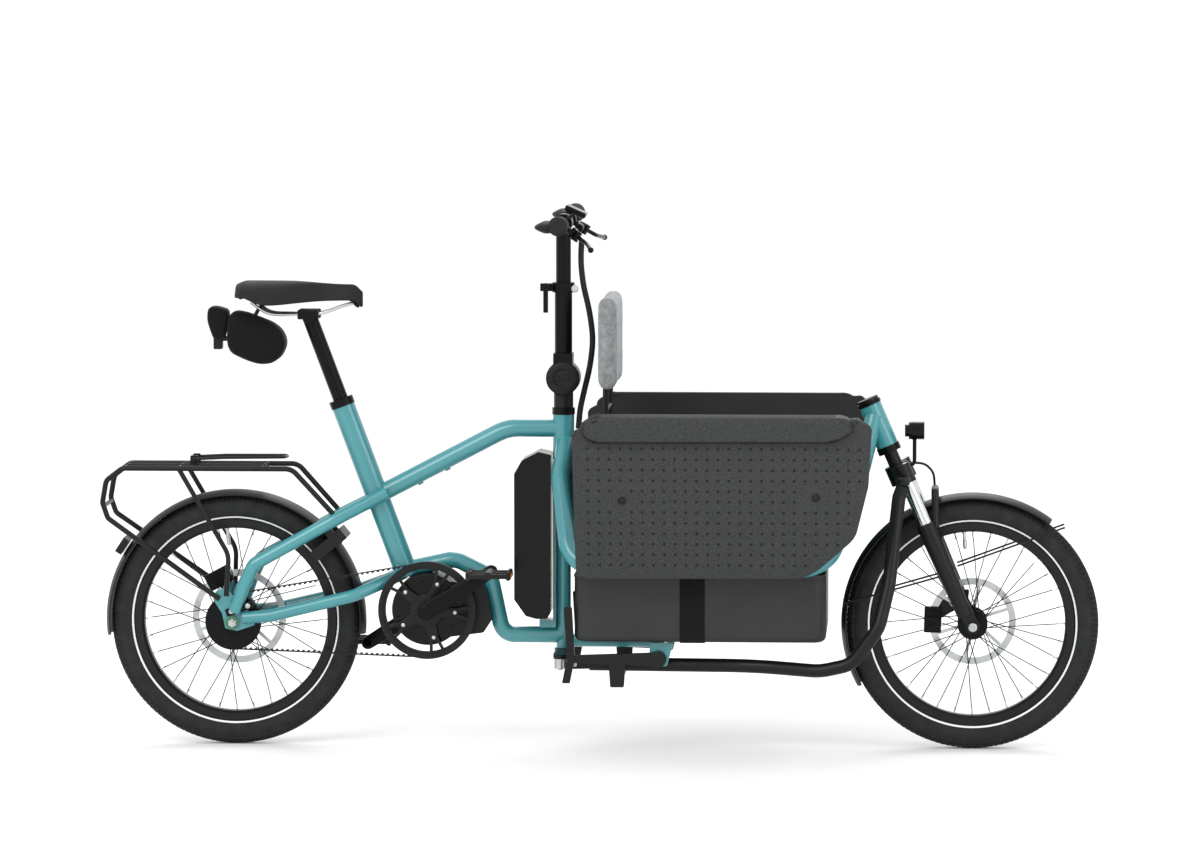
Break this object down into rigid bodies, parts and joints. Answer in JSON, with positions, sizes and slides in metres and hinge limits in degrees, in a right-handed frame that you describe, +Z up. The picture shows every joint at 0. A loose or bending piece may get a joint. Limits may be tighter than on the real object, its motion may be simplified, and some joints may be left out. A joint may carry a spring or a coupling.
{
  "type": "cargo bicycle",
  "caption": "Front-loading cargo bicycle: a box between a linkage-steered small front wheel and the rider, with belt drive and motor.",
  "frame": {"origin": "on the ground, midway along the bicycle, in its plane of symmetry", "axes": "+X forwards, +Y to the rider's left, +Z up"},
  "size_m": [2.0644, 0.6494, 1.1239],
  "materials": {
    "teal_paint": "gloss",
    "black_paint": "satin",
    "black_alloy": "satin",
    "bright_alloy": "brushed",
    "steel": "brushed",
    "chrome_tube": "polished",
    "tyre_rubber": "matt",
    "black_rubber": "matt",
    "black_plastic": "satin",
    "foam_panel": "grained",
    "gloss_black": "gloss",
    "black_webbing": "woven",
    "bag_fabric": "woven",
    "grey_felt": "felt",
    "saddle_cover": "matt"
  },
  "bodies": {
    "frame": {"frame_main_tubes": "teal_paint", "frame_rear_stays": "teal_paint", "frame_box_loops": "teal_paint", "headset_cups": "black_alloy", "motor_unit": "black_plastic", "drive_belt": "black_rubber", "seat_collar": "black_alloy", "rack_frame": "black_paint", "rear_fender": "black_plastic", "ring_lock": "black_plastic", "rear_axle": "steel", "rear_brake": "black_alloy", "box_tub": "black_plastic", "tub_hangers": "black_webbing", "box_end_walls": "foam_panel", "bench_seat": "foam_panel"},
    "battery_pack": {"battery": "gloss_black"},
    "rear_wheel": {"rear_tyre": "tyre_rubber", "rear_rim": "black_alloy", "rear_spokes": "black_paint", "rear_hub": "black_alloy"},
    "rear_sprocket": {"rear_pulley": "black_alloy"},
    "cranks": {"crank_set": "black_alloy", "front_pulley": "black_plastic"},
    "right_pedal": {"pedal_right": "black_plastic"},
    "left_pedal": {"pedal_left": "black_plastic"},
    "seat": {"seatpost": "black_alloy", "saddle": "saddle_cover", "saddle_bag": "bag_fabric"},
    "column": {"steering_column": "black_paint", "control_hoses": "black_plastic"},
    "knuckle": {"rod_knuckle": "steel"},
    "linkage_rod": {"steering_rod": "black_paint"},
    "mast": {"mast_outer": "black_alloy"},
    "clamp_lever": {"mast_clamp_lever": "black_alloy"},
    "bars": {"mast_inner": "black_alloy", "handlebar": "black_alloy", "grips": "black_rubber", "brake_masters": "black_alloy", "display": "gloss_black"},
    "right_brake_lever": {"brake_lever_right": "black_alloy"},
    "left_brake_lever": {"brake_lever_left": "black_alloy"},
    "shifter": {"twist_shifter": "black_rubber"},
    "fork": {"fork_crown": "black_paint", "fork_stanchions": "chrome_tube", "headlight": "gloss_black", "fork_hose": "black_rubber"},
    "fork_slider": {"fork_lowers": "black_paint", "front_fender": "black_plastic", "front_brake": "black_alloy"},
    "front_wheel": {"front_tyre": "tyre_rubber", "front_rim": "black_alloy", "front_spokes": "black_paint", "front_hub": "black_alloy"},
    "stand": {"kickstand": "black_paint"},
    "right_side": {"side_panel_right": "foam_panel"},
    "left_side": {"side_panel_left": "foam_panel"},
    "back_cushion": {"backrest_frame": "black_paint", "backrest_pad": "grey_felt"},
    "rack_flap": {"rack_clamp": "black_paint"}
  },
  "joints": [
    {"name": "steering", "type": "hinge", "parent": "frame", "child": "column", "pos_m": [-0.0745, 0, 0.65], "axis": [0, 0, 1], "range_deg": [-26, 26]},
    {"name": "fork_turn", "type": "hinge", "parent": "frame", "child": "fork", "pos_m": [0.57743, 0, 0.67], "axis": [-0.3987, 0, 0.9171], "range_deg": [-26, 26]},
    {"name": "knuckle_swivel", "type": "hinge", "parent": "column", "child": "knuckle", "pos_m": [-0.0745, -0.11325, 0.184], "axis": [0, 0, 1], "range_deg": [-26, 26]},
    {"name": "rod_pitch", "type": "hinge", "parent": "knuckle", "child": "linkage_rod", "pos_m": [-0.0445, -0.11325, 0.184], "axis": [0, 1, 0], "range_deg": [-2, 2]},
    {"name": "fork_travel", "type": "slide", "parent": "fork", "child": "fork_slider", "axis": [-0.3987, 0, 0.9171], "range_m": [0, 0.03], "stiffness_N_per_m": 12000, "springref_m": -0.012, "deforming": ["fork_hose"]},
    {"name": "front_wheel_spin", "type": "hinge", "parent": "fork_slider", "child": "front_wheel", "pos_m": [0.7725, 0, 0.26], "axis": [0, 1, 0], "continuous": true},
    {"name": "rear_wheel_spin", "type": "hinge", "parent": "frame", "child": "rear_wheel", "pos_m": [-0.7565, 0, 0.26], "axis": [0, 1, 0], "continuous": true},
    {"name": "crank_spin", "type": "hinge", "parent": "frame", "child": "cranks", "pos_m": [-0.3545, 0, 0.286], "axis": [0, 1, 0], "continuous": true},
    {"name": "sprocket_spin", "type": "hinge", "parent": "frame", "child": "rear_sprocket", "pos_m": [-0.7565, 0, 0.26], "axis": [0, 1, 0], "continuous": true},
    {"name": "right_pedal_spin", "type": "hinge", "parent": "cranks", "child": "right_pedal", "pos_m": [-0.21881, -0.148, 0.37079], "axis": [0, 1, 0], "continuous": true},
    {"name": "left_pedal_spin", "type": "hinge", "parent": "cranks", "child": "left_pedal", "pos_m": [-0.49019, 0.148, 0.20121], "axis": [0, 1, 0], "continuous": true},
    {"name": "seat_height", "type": "slide", "parent": "frame", "child": "seat", "axis": [-0.3518, 0, 0.9361], "range_m": [-0.09, 0.04]},
    {"name": "mast_tilt", "type": "hinge", "parent": "column", "child": "mast", "pos_m": [-0.0745, 0, 0.766], "axis": [0, 1, 0], "range_deg": [-20, 0], "deforming": ["control_hoses"]},
    {"name": "mast_height", "type": "slide", "parent": "mast", "child": "bars", "axis": [0, 0, 1], "range_m": [-0.06, 0.05]},
    {"name": "clamp_lever_turn", "type": "hinge", "parent": "mast", "child": "clamp_lever", "pos_m": [-0.1105, 0, 0.953], "axis": [0, 1, 0], "range_deg": [0, 90]},
    {"name": "right_brake_squeeze", "type": "hinge", "parent": "bars", "child": "right_brake_lever", "pos_m": [-0.03879, -0.156, 1.06637], "axis": [0.5446, 0, 0.8387], "range_deg": [-20, 0], "stiffness_Nm_per_rad": 1, "springref_deg": 11.46},
    {"name": "left_brake_squeeze", "type": "hinge", "parent": "bars", "child": "left_brake_lever", "pos_m": [-0.03879, 0.156, 1.06637], "axis": [0.5446, 0, 0.8387], "range_deg": [0, 20], "stiffness_Nm_per_rad": 1, "springref_deg": -11.46},
    {"name": "shifter_twist", "type": "hinge", "parent": "bars", "child": "shifter", "pos_m": [-0.07138, -0.174, 1.08912], "axis": [-0.03, 0.9991, -0.03], "range_deg": [-60, 60]},
    {"name": "stand_fold", "type": "hinge", "parent": "frame", "child": "stand", "pos_m": [0.1285, 0, 0.199], "axis": [0, 1, 0], "range_deg": [-90, 0]},
    {"name": "right_panel_fold", "type": "hinge", "parent": "frame", "child": "right_side", "pos_m": [0.25, -0.216, 0.374], "axis": [1, 0, 0], "range_deg": [-13, 0]},
    {"name": "left_panel_fold", "type": "hinge", "parent": "frame", "child": "left_side", "pos_m": [0.25, 0.216, 0.374], "axis": [1, 0, 0], "range_deg": [0, 13]},
    {"name": "backrest_fold", "type": "hinge", "parent": "frame", "child": "back_cushion", "pos_m": [0.0175, 0, 0.472], "axis": [0, 1, 0], "range_deg": [0, 78]},
    {"name": "battery_tilt", "type": "hinge", "parent": "frame", "child": "battery_pack", "pos_m": [-0.1095, 0, 0.268], "axis": [0, 1, 0], "range_deg": [-15, 0]},
    {"name": "rack_flap_lift", "type": "hinge", "parent": "frame", "child": "rack_flap", "pos_m": [-0.8405, 0, 0.596], "axis": [0, 1, 0], "range_deg": [-80, 0], "stiffness_Nm_per_rad": 0.4, "springref_deg": 20.05}
  ],
  "couplings": [
    {"joint": "fork_turn", "follows": "steering", "ratio": 1},
    {"joint": "knuckle_swivel", "follows": "steering", "ratio": -1},
    {"joint": "rod_pitch", "follows": "steering", "ratio": -0.05591},
    {"joint": "sprocket_spin", "follows": "crank_spin", "ratio": 1.75}
  ]
}
